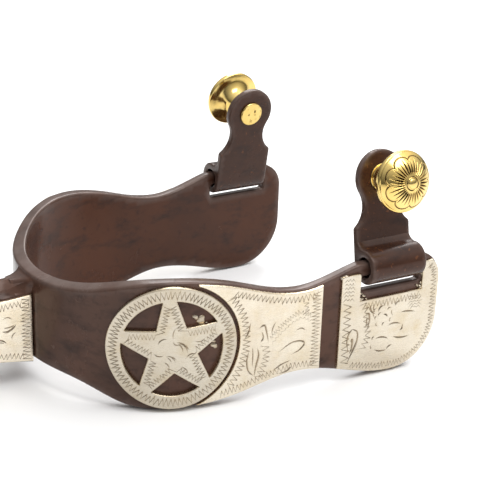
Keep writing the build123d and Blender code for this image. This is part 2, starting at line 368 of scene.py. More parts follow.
def rounding(gap, radius):
    """How far a rounded edge falls below the face, at a distance from the outline."""
    gap = np.clip(gap, 0, radius)
    return radius - np.sqrt(np.maximum(radius**2 - (radius - gap)**2, 0))


def wavy(points, size, amount):
    """Slow unevenness left by the forge or the polishing wheel."""
    return np.array([noise.noise(Vector(p) / size) for p in points]) * amount


class Shell:
    """A mesh in the making: points in mm, triangles, and a cut and a rim value at each point."""

    def __init__(self, points, triangles, cut=None, rim=None):
        self.points = np.asarray(points, float)
        self.triangles = np.asarray(triangles, int)
        self.cut = np.zeros(len(points)) if cut is None else cut
        self.rim = np.zeros(len(points)) if rim is None else rim

    def joined(self, other):
        return Shell(
            np.vstack([self.points, other.points]),
            np.vstack([self.triangles, other.triangles + len(self.points)]),
            np.concatenate([self.cut, other.cut]),
            np.concatenate([self.rim, other.rim]),
        )

    def mirrored(self):
        """The same piece on the other side of the spur."""
        return Shell(self.points * [1, -1, 1], self.triangles[:, ::-1], self.cut, self.rim)

    def shifted(self, x):
        return Shell(self.points + [x, 0, 0], self.triangles, self.cut, self.rim)

    def outward(self):
        """The same shell with its triangles wound so that it encloses a positive volume."""
        a, b, c = (self.points[self.triangles[:, k]] for k in range(3))
        if np.sum(a * np.cross(b, c)) < 0:
            self.triangles = self.triangles[:, ::-1]
        return self


def rim_of(gap, edge):
    """1 at an outline, fading to 0 a little inside its rounded edge."""
    return np.clip(1 - gap / max(2.2 * edge, 0.5), 0, 1)


def sheet(loops, thickness, place, edge, back_edge=0.0, cuts=(), slope=0.55, spacing=1.0,
          step=0.6, rows=4, waves=0.0, wave_size=9.0, back_cut=0.0):
    """A plate with that outline, its front edges rounded and its front face engraved.
    place(flat, height) gives its points, and thickness is a number or a function of the flat points."""
    loops = wound([refined(loop, step) for loop in loops])
    starts, ends = segments_of(loops)

    def face(lines, free, radius):
        flat, triangles, count = triangulate(loops, lines, np.vstack(free))
        gap = distance_to(flat, starts, ends)
        gap[:count] = 0
        return flat, triangles, gap, rounding(gap, radius)

    kept, lines = cut_lines(cuts, starts, ends, edge + 0.05)
    grid = grid_points(starts, ends, spacing, edge + spacing / 3)
    if kept:
        grid = grid[distance_to(grid, *cut_segments(kept)) > 0.35]
    flat, triangles, gap, fall = face(lines, [ring_points(loops, starts, ends, edge, rows), grid], edge)
    depth, cut = engraving(flat, kept, slope)
    top = thickness(flat) if callable(thickness) else np.full(len(flat), thickness)
    height = top - fall - depth
    if waves:
        unevenness = wavy(np.column_stack([flat, flat[:, 0] * 0]), wave_size, waves)
        height = height + unevenness * np.clip(gap / edge, 0, 1)
    front = Shell(place(flat, height), triangles, cut, rim_of(gap, edge))

    rings = [ring_points(loops, starts, ends, back_edge, rows)] if back_edge else []
    rings.append(grid_points(starts, ends, max(spacing, 1.6), back_edge + spacing / 2))
    flat, triangles, gap, fall = face([], rings, back_edge)
    rim = rim_of(gap, back_edge)
    whole = front.joined(Shell(place(flat, fall), triangles[:, ::-1], back_cut * (1 - rim), rim))

    walls, first = [], 0
    for loop in loops:
        ring = first + np.arange(len(loop))
        after = np.roll(ring, -1)
        under, under_after = ring + len(front.points), after + len(front.points)
        walls.extend([np.stack([ring, under, after], 1), np.stack([after, under, under_after], 1)])
        first += len(loop)
    whole.triangles = np.vstack([whole.triangles, *walls])
    return whole.outward()


def ring_skin(rows, count):
    """Triangles over rows of rings of points, after which come the middles of the first and last rings."""
    ring = np.arange(count)
    after = (ring + 1) % count
    triangles = []
    for row in range(rows - 1):
        low, high = row * count, (row + 1) * count
        triangles += [np.stack([low + ring, low + after, high + ring], 1),
                      np.stack([high + ring, low + after, high + after], 1)]
    last = (rows - 1) * count
    triangles.append(np.stack([np.full(count, rows * count), after, ring], 1))
    triangles.append(np.stack([np.full(count, rows * count + 1), last + ring, last + after], 1))
    return np.vstack(triangles)


# ---- engraver's cuts


def zigzag(path, inner, outer, period, width=0.15, jitter=0.1):
    """A wriggle cut that walks between two distances to the left of a path."""
    steps = np.linalg.norm(np.diff(path, axis=0), axis=1)
    along = np.concatenate([[0], np.cumsum(steps)])
    count = max(2, int(along[-1] / (period / 2)))
    at = np.linspace(0, along[-1], count + 1)

    def point_at(distance):
        return np.stack([np.interp(distance, along, path[:, k]) for k in (0, 1)], 1)

    step = point_at(np.minimum(at + 0.2, along[-1])) - point_at(np.maximum(at - 0.2, 0))
    reach = np.where(np.arange(count + 1) % 2 == 0, inner, outer)
    corners = point_at(at) + left_of(step) * reach[:, None] + rng.normal(0, jitter, (count + 1, 2))
    cuts = []
    for k in range(count):
        widths = np.array([0.75, 1.15]) if k % 2 == 0 else np.array([1.15, 0.75])
        cuts.append((corners[k:k + 2], widths * width))
    return cuts


def stroke(x, z, bearing, length, bow, width, parts=9):
    """A tapered graver cut, from its middle, with a bow to its left as a part of its length."""
    share = np.linspace(-0.5, 0.5, parts)
    turn = radians(bearing)
    lift = bow * length * (1 - 4 * share**2)
    across = share * length
    path = np.stack([x + across * cos(turn) - lift * sin(turn),
                     z + across * sin(turn) + lift * cos(turn)], 1)
    return path, 0.03 + width * np.cos(pi * share) ** 0.8


def strokes(x, z, rows):
    """Graver cuts from rows of (x, z, bearing, length, bow, width), placed from an origin."""
    return [stroke(x + row_x, z + row_z, *shape) for row_x, row_z, *shape in rows]


def frond(x, z, bearing, length, width, bow):
    """A leaf of three graver cuts that share a root."""
    side = radians(bearing + 70)
    aside, upward = 0.5 * cos(side), 0.5 * sin(side)
    return [
        stroke(x, z, bearing, length, bow, width),
        stroke(x + aside, z + upward, bearing + 14, length * 0.75, bow * 0.8, width * 0.8),
        stroke(x - aside, z - upward, bearing - 14, length * 0.7, bow * 0.6, width * 0.8),
    ]


def curls(x, rows):
    """Scrolls and hooked leaves: tapered cuts through points, from rows of (width, points)."""
    cuts = []
    for width, *points in rows:
        path = np.array(smooth_curve(np.array(points) + [x, 0], 4))
        share = np.linspace(-0.5, 0.5, len(path))
        cuts.append((path, 0.06 + 1.35 * width * np.cos(pi * share) ** 0.7))
    return cuts


def borders(outline, rows):
    """Zigzags beside parts of an outline, from rows of (inner and outer distance, period, width, part)."""
    cuts = []
    for inner, outer, period, width, part in rows:
        cuts += zigzag(part_of(outline, part), inner, outer, period, width)
    return cuts


def columns(x, rows):
    """Zigzags that stand free on a plate, from rows of (inner and outer distance, period, width, points)."""
    cuts = []
    for inner, outer, period, width, *points in rows:
        cuts += zigzag(np.array(points) + [x, 0], inner, outer, period, width)
    return cuts


def engraved(loops, thickness, place, cuts, edge=plate_edge):
    return sheet(loops, thickness, place, edge, cuts=cuts, spacing=1.1, step=0.5)


# ---- steel band


def flat_loops(node):
    """Outlines of a node's outer face in the unrolled plane, largest first. The left branch has s below 0."""
    loops = []
    for loop in face_loops(node, outward_on_band):
        flat = unroll(np.column_stack([loop[:, 0], -np.abs(loop[:, 1]), loop[:, 2]]))
        flat[:, 0] *= branch_side(loop)
        loops.append(flat)
    return wound(sorted(loops, key=lambda loop: -abs(area(loop))))


def rounded_rectangle(low, high, corner, parts=6):
    """An outline with round corners, anticlockwise."""
    (x0, z0), (x1, z1) = np.array(low) + corner, np.array(high) - corner
    corners = ((270, x1, z0), (0, x1, z1), (90, x0, z1), (180, x0, z0))
    return np.vstack([arc_points((x, z), corner, turn, turn + 90, parts + 1) for turn, x, z in corners])


def rim_line(outline, picked):
    """x and z along one side of the right branch's outline, from the heel to the tip."""
    line = outline[picked]
    line = line[np.argsort(line[:, 0])]
    return on_plan(line[:, 0], plan_points[:, 0]), line[:, 1]


band_outline = flat_loops("heel_band")[0]
on_right, in_upper_half = band_outline[:, 0] > -0.1, band_outline[:, 1] > 20
rim_line_points = rim_line(band_outline, on_right & in_upper_half)
foot_line_points = rim_line(band_outline, on_right & ~in_upper_half)


def place_steel(flat, height):
    """Points of the band. Its outline is cut square to the side view, so the rims are level across it."""
    points = place_on_band(flat, height - steel_thickness(flat[:, 0]))
    face_x = on_plan(flat[:, 0], plan_points[:, 0])
    rim, foot = np.interp(face_x, *rim_line_points), np.interp(face_x, *foot_line_points)
    new_rim, new_foot = (np.interp(points[:, 0], *line) for line in (rim_line_points, foot_line_points))
    share = (flat[:, 1] - foot) / (rim - foot)
    moved = new_foot + share * (new_rim - new_foot) - flat[:, 1]
    before_bar = np.clip((bend_length + 15 - np.abs(flat[:, 0])) / 10, 0, 1)
    points[:, 2] += moved * before_bar
    return points


def band_shell():
    slots = []
    for side in (1, -1):
        ends = [side * s_at_x(slot_x - slot_length / 2), side * s_at_x(slot_x + slot_length / 2)]
        slots.append(rounded_rectangle((min(ends), slot_low), (max(ends), slot_top), slot_corner))
    return sheet([band_outline, *slots], lambda flat: steel_thickness(flat[:, 0]), place_steel, band_edge,
                 back_edge=band_edge, spacing=1.8, step=0.8, rows=5, waves=0.06, wave_size=14.0, back_cut=1.0)


# ---- nickel silver trim


def part_of(loop, keep):
    """The longest run of an outline's points that keep(x, z) picks."""
    loop = refined(loop, 0.5)
    picked = keep(*loop.T)
    if picked.all():
        return loop
    start = -int(np.argmin(picked))
    loop, picked = np.roll(loop, start, 0), np.roll(picked, start)
    runs = np.split(loop, np.flatnonzero(np.diff(picked.astype(int))) + 1)
    return max(runs[1::2], key=len)


def raised(thickness):
    """place() for a plate that lies on the outer face of the band, sunk a hair into it."""
    return lambda flat, height: place_on_band(flat, height * (1 + plate_sink / thickness) - plate_sink)


def upright(y):
    """place() for a plate that stands square to Y, with its back at y and its face towards -Y."""
    return lambda flat, height: np.column_stack([flat[:, 0], y - height, flat[:, 1]])


def solder_bead(s, z, size, rise, segments=18, rows=6):
    """A lump of solder that lies on the outer face of the band."""
    turns = np.arange(segments) * 2 * pi / segments
    lumps = 1 + 0.22 * np.sin(2 * turns + s) + 0.14 * np.sin(3 * turns + 7 * z)
    flat, height = [], []
    for row in range(rows):
        share = 1 - row / rows
        reach = share * size * lumps
        flat.append(np.stack([s + reach * np.cos(turns), z + 0.8 * reach * np.sin(turns)], 1))
        height.append(np.full(segments, rise * sqrt(1 - share**2) if row else -plate_sink))
    points = place_on_band(np.vstack([*flat, [(s, z)] * 2]), np.concatenate([*height, [-plate_sink, rise]]))
    return Shell(points, ring_skin(rows, segments), np.full(len(points), solder_dulling)).outward()


def concho_shell():
    loops = flat_loops("star_concho_right")
    outline, windows = loops[0], loops[1:]
    x, z = (outline.min(0) + outline.max(0)) / 2
    star_reach = 0.74 * np.ptp(outline[:, 1]) / 2
    cuts = zigzag(np.vstack([outline, outline[:1]]), 0.95, 3.35, 1.45)
    for window in windows:
        cuts += borders(window, [(0.85, 2.6, 1.0, 0.13, lambda s, up: np.hypot(s - x, up - z) < star_reach)])
    cuts += frond(x + 2.6, z + 0.6, -50, 4.6, 0.30, 0.2) + frond(x - 0.6, z - 3.0, -40, 3.4, 0.18, 0.2)
    cuts += strokes(x, z, [
        (-3.0, 2.6, 35, 3.0, 0.2, 0.2), (0.4, 5.0, 80, 3.4, 0.12, 0.2), (-4.0, -1.5, -15, 2.6, -0.2, 0.18),
        (5.2, -2.2, 20, 2.8, 0.2, 0.2), (1.0, 2.2, 150, 2.4, 0.3, 0.16), (-1.8, -5.2, -60, 3.0, 0.2, 0.18),
        (7.6, 2.6, 8, 3.0, -0.2, 0.16), (3.4, -6.8, -52, 3.2, 0.16, 0.18),
    ])
    plate = engraved(loops, 1.5, raised(1.5), cuts, 0.42)
    # Solder that ran out from under the star, as (x, z, size) from its middle.
    for bead_x, bead_z, size in ((8.3, 8.2, 1.5), (6.6, 9.3, 0.9), (9.9, 6.9, 0.7), (12.6, -0.6, 1.1),
                                 (12.2, 0.9, 0.7)):
        plate = plate.joined(solder_bead(x + bead_x, z + bead_z, size, 0.35))
    return plate


def side_plate_shell():
    loops = flat_loops("side_plate_right")
    front = loops[0][:, 0].max()
    cuts = borders(loops[0], [
        (0.85, 3.4, 1.15, 0.14, lambda x, z: x > front - 0.1),
        (0.9, 2.9, 1.3, 0.15, lambda x, z: (x > front - 29) & (x < front - 2) & (z > 30)),
        (0.9, 3.0, 1.25, 0.15, lambda x, z: (x > front - 33) & (x < front - 2) & (z < 9)),
        (0.9, 3.3, 1.35, 0.15, lambda x, z: (x < front - 26) & (z > 7) & (z < 33)),
    ])
    # A column, then a scalloped ribbon in two rows that bounds a smooth leaf.
    cuts += columns(front, [
        (-1.1, 1.1, 1.5, 0.13, (-18.6, 17.3), (-18.3, 14.0), (-19.4, 10.3), (-20.8, 7.2)),
        (-0.1, 1.3, 0.9, 0.11, (-17.0, 18.8), (-13.6, 22.1), (-10.3, 24.4), (-7.5, 25.6), (-4.2, 23.9)),
        (-0.2, 0.5, 1.3, 0.09, (-16.6, 17.4), (-13.2, 20.7), (-9.9, 23.0), (-7.1, 24.2), (-3.8, 22.5)),
        (-0.8, 0.8, 1.1, 0.12, (-5.8, 29.0), (-5.2, 25.6)),
    ])
    cuts += curls(front, [
        (0.20, (-14.2, 14.3), (-10.3, 16.5), (-6.9, 16.6), (-5.7, 15.5), (-7.5, 13.6), (-9.7, 12.8)),
        (0.17, (-15.8, 8.4), (-13.6, 9.8), (-10.3, 10.8)),
        (0.20, (-14.0, 7.0), (-11.4, 7.4), (-9.7, 8.8)),
        (0.24, (-24.2, 16.2), (-24.7, 13.2), (-24.2, 9.9), (-22.5, 8.0)),
        (0.28, (-21.4, 16.8), (-20.9, 14.1), (-21.6, 11.1), (-22.2, 7.5)),
        (0.16, (-23.0, 17.2), (-22.8, 14.4), (-22.9, 11.0)),
        (0.26, (-21.1, 23.1), (-19.4, 23.9), (-18.6, 21.6), (-17.9, 18.4)),
        (0.20, (-20.2, 22.0), (-19.6, 20.0), (-20.4, 18.6)),
        (0.17, (-15.8, 24.2), (-16.6, 22.4), (-16.9, 20.6)),
        (0.18, (-25.6, 20.6), (-24.4, 22.8), (-24.0, 25.4)),
        (0.14, (-8.6, 20.4), (-7.0, 20.8), (-5.6, 20.0)),
    ])
    return engraved(loops, 1.0, raised(1.0), cuts)


def tip_plate_shell():
    loops = flat_loops("tip_plate_right")
    rear = loops[0][:, 0].min()
    slot_rear, slot_front = s_at_x(slot_x - slot_length / 2), s_at_x(slot_x + slot_length / 2)
    cuts = borders(loops[0], [(1.0, 3.7, 2.1, 0.16, lambda x, z: (x < rear + 0.1) & (z < 26))])
    cuts += columns(0, [(0.85, 3.0, 1.3, 0.15, (slot_front - 0.8, notch_low), (slot_rear + 1.4, notch_low))])
    cuts += borders(loops[0], [
        (0.9, 2.8, 1.25, 0.13, lambda x, z: (x > rear + 4) & ((z < 12) | (x > slot_front + 2.2))),
    ])
    # Short level ripples climb the narrow strip behind the slot.
    for z in 27.2 + 1.25 * np.arange(6):
        cuts += zigzag(np.array([(rear + 1.0, z), (rear + 4.3, z - 0.25)]), -0.35, 0.35, 1.1, 0.12, 0.07)
    # A scroll, then a leaning column with leaves before it.
    cuts += curls(rear, [
        (0.22, (4.5, 17.1), (3.4, 15.6), (2.9, 12.6), (3.5, 9.6)),
        (0.26, (4.5, 17.1), (6.3, 15.9), (6.6, 13.2), (5.5, 10.4), (4.5, 8.4), (3.4, 6.0)),
        (0.28, (4.2, 12.8), (4.8, 13.6), (4.8, 10.9), (4.0, 9.0)),
        (0.26, (8.9, 21.0), (10.1, 21.4), (10.6, 18.9), (10.0, 16.4)),
        (0.20, (9.5, 20.0), (9.6, 18.4), (9.4, 17.0)),
    ])
    cuts += columns(rear, [
        (-1.0, 1.1, 1.6, 0.14, (7.8, 25.0), (9.4, 22.0), (9.2, 17.5), (10.6, 14.0), (8.6, 9.5)),
    ])
    cuts += frond(rear + 11.6, 22.4, 118, 3.8, 0.34, 0.2)
    cuts += strokes(rear, 0, [
        (14.6, 22.0, 42, 2.6, 0.25, 0.3), (16.4, 19.4, -35, 2.0, 0.15, 0.3),
        (20.6, 22.6, 35, 2.4, 0.2, 0.24), (24.8, 19.0, -8, 5.4, 0.05, 0.3),
        (20.0, 15.6, -4, 4.8, 0.12, 0.3), (22.6, 14.2, 70, 2.4, -0.2, 0.3),
        (15.6, 11.7, -10, 4.8, 0.12, 0.32), (22.8, 11.2, -8, 6.0, -0.08, 0.34),
        (15.4, 8.0, -10, 4.4, -0.1, 0.3), (18.6, 8.4, 30, 2.4, 0.1, 0.26),
    ])
    # Level ripples step down from the front lower corner of the slot.
    for k in range(5):
        ripple = np.array([(slot_front - 4.6 + 0.3 * k, 24.0 - 0.9 * k), (slot_front + 0.4, 23.8 - 0.9 * k)])
        cuts += zigzag(ripple, -0.3, 0.3, 1.2, 0.11, 0.12)
    # Small buds between the scroll and the field.
    buds = ((12.9, 19.2, 70), (14.2, 20.2, 40), (13.4, 17.0, 110), (15.8, 16.6, 60), (17.6, 21.4, 20),
            (18.4, 17.6, 80), (12.4, 12.4, 60), (12.0, 9.6, 100))
    cuts += strokes(rear, 0, [(*bud, 1.5, 0.25, 0.2) for bud in buds])
    cuts += strokes(rear, 0, [(12.6, 21.0, 84, 3.4, 0.24, 0.2), (19.0, 20.0, 100, 2.2, 0.2, 0.18)])
    plate = engraved(loops, 1.0, raised(1.0), cuts)
    # Ragged solder at the corners of the opening and of the strip, as (x, z, size, rise).
    for corner, beads in (
        (slot_rear, ((0, 0.4, 1.0, 0.9), (1.1, 1.4, 0.7, 0.7), (-0.1, 2.3, 0.6, 0.8), (2.1, 0.2, 0.5, 0.7))),
        (slot_front, ((0.1, 0.5, 0.8, 0.9), (-0.9, 1.1, 0.6, 0.7), (0.2, 1.8, 0.5, 0.7))),
        (rear, ((0.3, 2.4, 0.5, 0.9), (0.2, 8.4, 0.6, 0.9), (1.6, 8.9, 0.5, 0.9))),
    ):
        for x, z, size, rise in beads:
            plate = plate.joined(solder_bead(corner + x, notch_low + z, size, rise))
    return plate


def shank_plate_shell():
    """Flat plate on the right cheek of the shank."""
    low, high = box_mm("shank_plate_right")
    loops = wound([face_loops("shank_plate_right", facing_right)[0][:, [0, 2]]])
    rear, front = low[0], high[0]
    cuts = borders(loops[0], [
        (0.85, 3.4, 1.2, 0.15, lambda x, z: x > front - 1.6),
        (0.85, 2.8, 1.3, 0.15, lambda x, z: (x < front - 3) & (z < 14)),
        (0.85, 2.8, 1.3, 0.15, lambda x, z: (x < front - 3) & (z > 22)),
        (0.85, 2.6, 1.3, 0.15, lambda x, z: x < rear + 0.2),
    ])
    for k in range(3):
        x = front - 7.6 - 6.4 * k
        cuts += frond(x, 19.2 - 0.6 * k, 200 - 8 * k, 5.0, 0.34, 0.2)
        cuts += frond(x - 2.6, 14.8, 160, 3.6, 0.28, -0.2)
        cuts += strokes(x, 0, [(1.6, 16.2, 60, 2.6, 0.25, 0.22), (-0.4, 22.0 - k, 170, 3.0, -0.2, 0.2)])
    return engraved(loops, 1.0, upright(high[1]), cuts, 0.3)


# ---- hangers

hanger_lean = radians(10.0)
hanger_thickness = 2.2
loop_bore = 3.1
loop_radius = loop_bore + hanger_thickness
crease_radius = 3.0
hanger_edge = 0.55

pivot = next(np.array(j["pos_m"]) / MM for j in frame["joints"] if j["name"] == "hanger_right_swing")
along_bar = np.array([1.0, 0.0, 0.0])
strap_out = np.array([0.0, -cos(hanger_lean), sin(hanger_lean)])
strap_up = np.array([0.0, sin(hanger_lean), cos(hanger_lean)])

# The strap rolls round the bar, and its feathered end blends into the front of the strap.
crease_out = crease_radius - loop_bore
crease_centre = np.array([crease_out, sqrt((loop_radius + crease_radius)**2 - crease_out**2)])
roll_turn = 1.5 * pi - atan2(crease_centre[0], crease_centre[1])
roll_mean = loop_bore + hanger_thickness / 2
roll_length = roll_turn * roll_mean
crease_start = atan2(-crease_centre[1], -crease_centre[0])
crease_sweep = -(pi + crease_start)
feather_length = 4.5
feather_sink = 0.45


def place_strap(flat, height):
    """Points of the right hanger at (across, up the strap). Below 0 the strap follows the roll."""
    up = flat[:, 1]
    down = np.maximum(-up, 0)
    turn = np.minimum(down / roll_mean, roll_turn)
    rise = np.maximum(up, 0)[:, None] * [0, 1]
    outer, inner = rise - loop_radius * on_circle(turn), rise - loop_bore * on_circle(turn)
    share = np.clip((down - roll_length) / feather_length, 0, 1)
    sink = feather_sink * (share**3)[:, None] * [1, 0]
    crease = crease_centre + crease_radius * on_circle(crease_start + share * crease_sweep) - sink
    bore = -loop_bore * on_circle(roll_turn + share * (2 * pi - 0.1 - roll_turn)) - sink
    feathered = share[:, None] > 0
    outer, inner = np.where(feathered, crease, outer), np.where(feathered, bore, inner)
    section = outer + (inner - outer) * (height / hanger_thickness)[:, None]
    return pivot + flat[:, :1] * along_bar + section[:, :1] * strap_out + section[:, 1:] * strap_up


def slide(side):
    """How far along the bar a hanger hangs from the middle of its slot."""
    low, high = box_mm("button_hanger_" + side)
    return (low[0] + high[0]) / 2 - pivot[0]


def hanger_shell():
    def facing(centres, normals):
        return normals @ -strap_out > 0.999
    face = widest(face_loops("button_hanger_right", facing))
    flat = np.column_stack([face[:, 0] - pivot[0] - slide("right"), (face - pivot) @ strap_up])
    # The flat of the strap ends at the loop, and the strap itself goes on round the roll.
    flat[:, 1] = np.where(flat[:, 1] < 0.02, -(roll_length + feather_length), flat[:, 1])
    return sheet(wound([flat]), hanger_thickness, place_strap, hanger_edge, back_edge=hanger_edge,
                 spacing=0.75, step=0.5, waves=0.05, wave_size=7.0)


# ---- turned pieces


def turned(profile, centre, axis, segments, relief=None):
    """A closed turned piece. profile runs from axis to axis as (radius, height) in mm."""
    across, side = along_bar, np.cross(axis, along_bar)
    turns = np.arange(segments) * 2 * pi / segments
    around = np.cos(turns)[:, None] * across + np.sin(turns)[:, None] * side
    points, cuts = [], []
    for radius, height in profile[1:-1]:
        lift, cut = relief(radius, turns, height) if relief else (turns * 0, turns * 0)
        points.append(centre + (height + lift)[:, None] * axis + radius * around)
        cuts.append(cut)
    rings = len(points)
    points = np.vstack([*points, centre + profile[0][1] * axis, centre + profile[-1][1] * axis])
    return Shell(points, ring_skin(rings, segments), np.concatenate([*cuts, [0.0, 0.0]])).outward()


def smooth_curve(points, parts):
    """A Catmull-Rom line through the points."""
    points = np.array(points, float)
    padded = np.vstack([2 * points[0] - points[1], points, 2 * points[-1] - points[-2]])
    line = []
    for k in range(1, len(padded) - 2):
        a, b, c, d = padded[k - 1:k + 3]
        for t in np.arange(parts) / parts:
            line.append(tuple(0.5 * (2 * b + (c - a) * t + (2 * a - 5 * b + 4 * c - d) * t**2
                                     + (3 * b - a - 3 * c + d) * t**3)))
    return line + [tuple(points[-1])]


head_height = 26.0
button_radius = 9.3
rim_low, rim_high = 9.8, 11.3
dome_rise = 4.3
boss_radius, boss_height = 1.5, 0.45
rim_round = 0.45
button_segments = 512         # enough for the engraving
petals = 8
rays_per_petal = 4
petal_valley, petal_reach = 6.5, 8.0
ray_start, ray_reach = 2.45, 6.2
boss_ring = 2.0
waist = [(3.9, 0.75), (3.65, 1.6), (3.5, 3.4), (3.65, 5.2), (4.5, 7.4), (6.4, 8.9), (8.5, 9.65)]
tenon_radius = 4.1
tenon_thickness = 0.8
tenon_dents = 0.22
tenon_dulling = 0.15


def dome_height(radius):
    ball = (button_radius**2 + dome_rise**2) / (2 * dome_rise)
    return rim_high + dome_rise - ball + np.sqrt(ball**2 - radius**2)


def flower(radius, turns, height):
    """Lift and darkness of the engraving: scalloped petals, fans of tapered rays and a ring round the boss.
    The peened tenon has hammer dents instead."""
    plain = turns * 0
    if height < -hanger_thickness - tenon_thickness + 0.1:
        dents = np.array([noise.noise((0.8 * radius * cos(t), 0.8 * radius * sin(t), 0.0)) for t in turns])
        return tenon_dents * dents * min(1.0, tenon_radius - radius), plain + tenon_dulling
    if height < rim_high + 0.02 or radius < boss_radius + 0.02:
        return plain, plain
    pitch = 2 * pi / petals
    within = (turns % pitch) / pitch - 0.5
    lobe = np.sqrt(np.maximum(1 - (2 * within)**2, 0))
    scallop = np.abs(radius - petal_valley - (petal_reach - petal_valley) * lobe) * (0.42 + 0.58 * lobe)
    ray_pitch = pitch / rays_per_petal
    ray = np.floor(turns / ray_pitch)
    ray_gap = np.abs((turns % ray_pitch) - ray_pitch / 2) * radius
    ray_end = ray_reach + 0.75 * lobe + 0.35 * np.sin(2.3 * ray)
    taper = np.clip((radius - ray_start) / 0.9, 0, 1) * np.clip((ray_end - radius) / 2.2, 0, 1) ** 0.7
    ring = plain + 0.22 - abs(radius - boss_ring)
    inset = np.maximum.reduce([0.20 - scallop, 0.33 * taper - ray_gap, ring, plain])
    return -1.1 * inset, np.minimum(inset / 0.17, 1)


def button_shell():
    """A spool with a domed, engraved face, and the tenon that is peened over inside the hanger."""
    centre = pivot - strap_out * loop_bore + strap_up * head_height
    back = -hanger_thickness - tenon_thickness
    profile = [(0, back)] + [(r, back + 0.02) for r in np.arange(0.3, 3.6, 0.3)]
    profile += arc_points((3.65, back + 0.4), 0.4, -90, 0, 6)
    profile += [(4.05, -hanger_thickness), (2.9, -hanger_thickness), (2.9, 0), (3.9, 0)]
    profile += arc_points((3.9, 0.3), 0.3, -90, 90, 6)
    profile += smooth_curve(waist, 8)
    profile += arc_points((button_radius - rim_round, rim_low + rim_round), rim_round, -80, 0, 6)
    profile += arc_points((button_radius - 0.5, rim_high - 0.5), 0.5, 0, 75, 6)
    face = np.arange(button_radius - rim_round, boss_radius, -0.09)
    profile += [(r, float(dome_height(r))) for r in face]
    low, top = float(dome_height(boss_radius)), float(dome_height(0)) + boss_height
    bulge = [(boss_radius * cos(a), low + (top - low) * sin(a)) for a in np.linspace(0, pi / 2, 12)]
    profile += bulge[:-1] + [(0, top)]
    return turned(profile, centre, strap_out, button_segments, flower)


# ---- shank, rowel and pin


def bevelled_copy(node, width, segments=3, limit=28):
    """A CAD solid with its edges broken by a small round."""
    points, triangles, _ = surface_of(node)
    mesh = bpy.data.meshes.new(node + "_soft")
    mesh.from_pydata([tuple(p * MM) for p in points], [], triangles.tolist())
    form = bmesh.new()
    form.from_mesh(mesh)
    bmesh.ops.dissolve_limit(form, angle_limit=radians(2), verts=form.verts, edges=form.edges)
    sharp = [e for e in form.edges if len(e.link_faces) == 2 and e.calc_face_angle() > radians(limit)]
    bmesh.ops.bevel(form, geom=sharp, offset=width * MM, offset_type="OFFSET", segments=segments,
                    profile=0.5, affect="EDGES", clamp_overlap=True)
    bmesh.ops.triangulate(form, faces=form.faces)
    form.to_mesh(mesh)
    form.free()
    points = np.array([tuple(v.co) for v in mesh.vertices]) / MM
    triangles = np.array([list(p.vertices) for p in mesh.polygons])
    bpy.data.meshes.remove(mesh)
    return Shell(points, triangles)


weld_reach = 5.2              # behind the band
weld_side, weld_rise = 2.6, 1.3
root_side_top, root_ridge = 28.8, 32.6
root_half_ridge, root_half_width = 4.2, 5.0
weld_stations = (-1.0, 0.0, 0.3, 0.8, 1.5, 2.4, 3.6, weld_reach)


def weld_shell():
    """The hollow fillet of weld that flows from the top of the shank out on to the band."""
    radius = bend_radius + heel_thickness / 2
    rings = []
    for behind in weld_stations:
        share = np.clip(1 - behind / weld_reach, 0, 1)
        swell = 1 - sqrt(1 - share**2)
        half_ridge = root_half_ridge - 0.38 * max(behind, 0)
        half = [(0, root_ridge), (half_ridge * 0.7, root_ridge), (half_ridge + 0.2, root_ridge - 0.8),
                (root_half_width, root_side_top)]
        ring = np.array(smooth_curve([(-y, z) for y, z in half[:0:-1]] + half, 6)) - [0, 0.12]
        climb = (ring[:, 1] - root_side_top) / (root_ridge - root_side_top)
        spread = np.clip(climb, 0, 1) * np.abs(ring[:, 0]) / root_half_width
        ring[:, 0] += np.sign(ring[:, 0]) * weld_side * swell * spread
        ring[:, 1] += weld_rise * swell * climb
        foot = root_half_width - 1
        ring = np.vstack([ring, [(foot, root_side_top - 1), (-foot, root_side_top - 1)]])
        x = heel_back_x + radius - np.sqrt(radius**2 - ring[:, 0]**2) - behind
        rings.append(np.column_stack([x, ring]))
    middles = [rings[0].mean(0), rings[-1].mean(0)]
    return Shell(np.vstack([*rings, *middles]), ring_skin(len(rings), len(rings[0]))).outward()


rowel_bore_radius = 2.06
rowel_hub_radius = 5.2
pin_radius = 2.0
pin_head_radius = 3.1
pin_head = 0.9


def rowel_shell():
    low, high = box_mm("rowel")
    centre = sum(box_mm("rowel_pin"))[[0, 2]] / 2
    star = widest(face_loops("rowel", facing_right))
    bore = np.array(arc_points(centre, rowel_bore_radius, 0, -360, 49)[1:])
    star_half, hub_half = abs(star[:, 1].mean()), (high[1] - low[1]) / 2
    star_loops = [*wound([star[:, [0, 2]]]), bore]
    hub_loops = [np.array(arc_points(centre, rowel_hub_radius, 0, 360, 97)[1:]), bore]
    blades = sheet(star_loops, 2 * star_half, upright(star_half), 0.7, back_edge=0.7, step=0.4)
    hub = sheet(hub_loops, 2 * hub_half, upright(hub_half), 0.3, back_edge=0.3, spacing=0.8, step=0.4)
    return blades.joined(hub)


def pin_shell():
    low, high = box_mm("rowel_pin")
    half = (high[1] - low[1]) / 2
    profile = [(0, -half)] + [(r, -half + 0.02 + (r / 2.5)**2 * 0.12) for r in (0.8, 1.6, 2.4)]
    profile += arc_points((pin_head_radius - 0.45, -half + 0.6), 0.45, -70, 0, 5)
    profile += [(pin_head_radius, -half + pin_head), (pin_radius, -half + pin_head)]
    profile += [(r, -h) for r, h in reversed(profile)]
    return turned(profile, (low + high) / 2, np.array([0.0, 1, 0]), 64)


# ---- materials

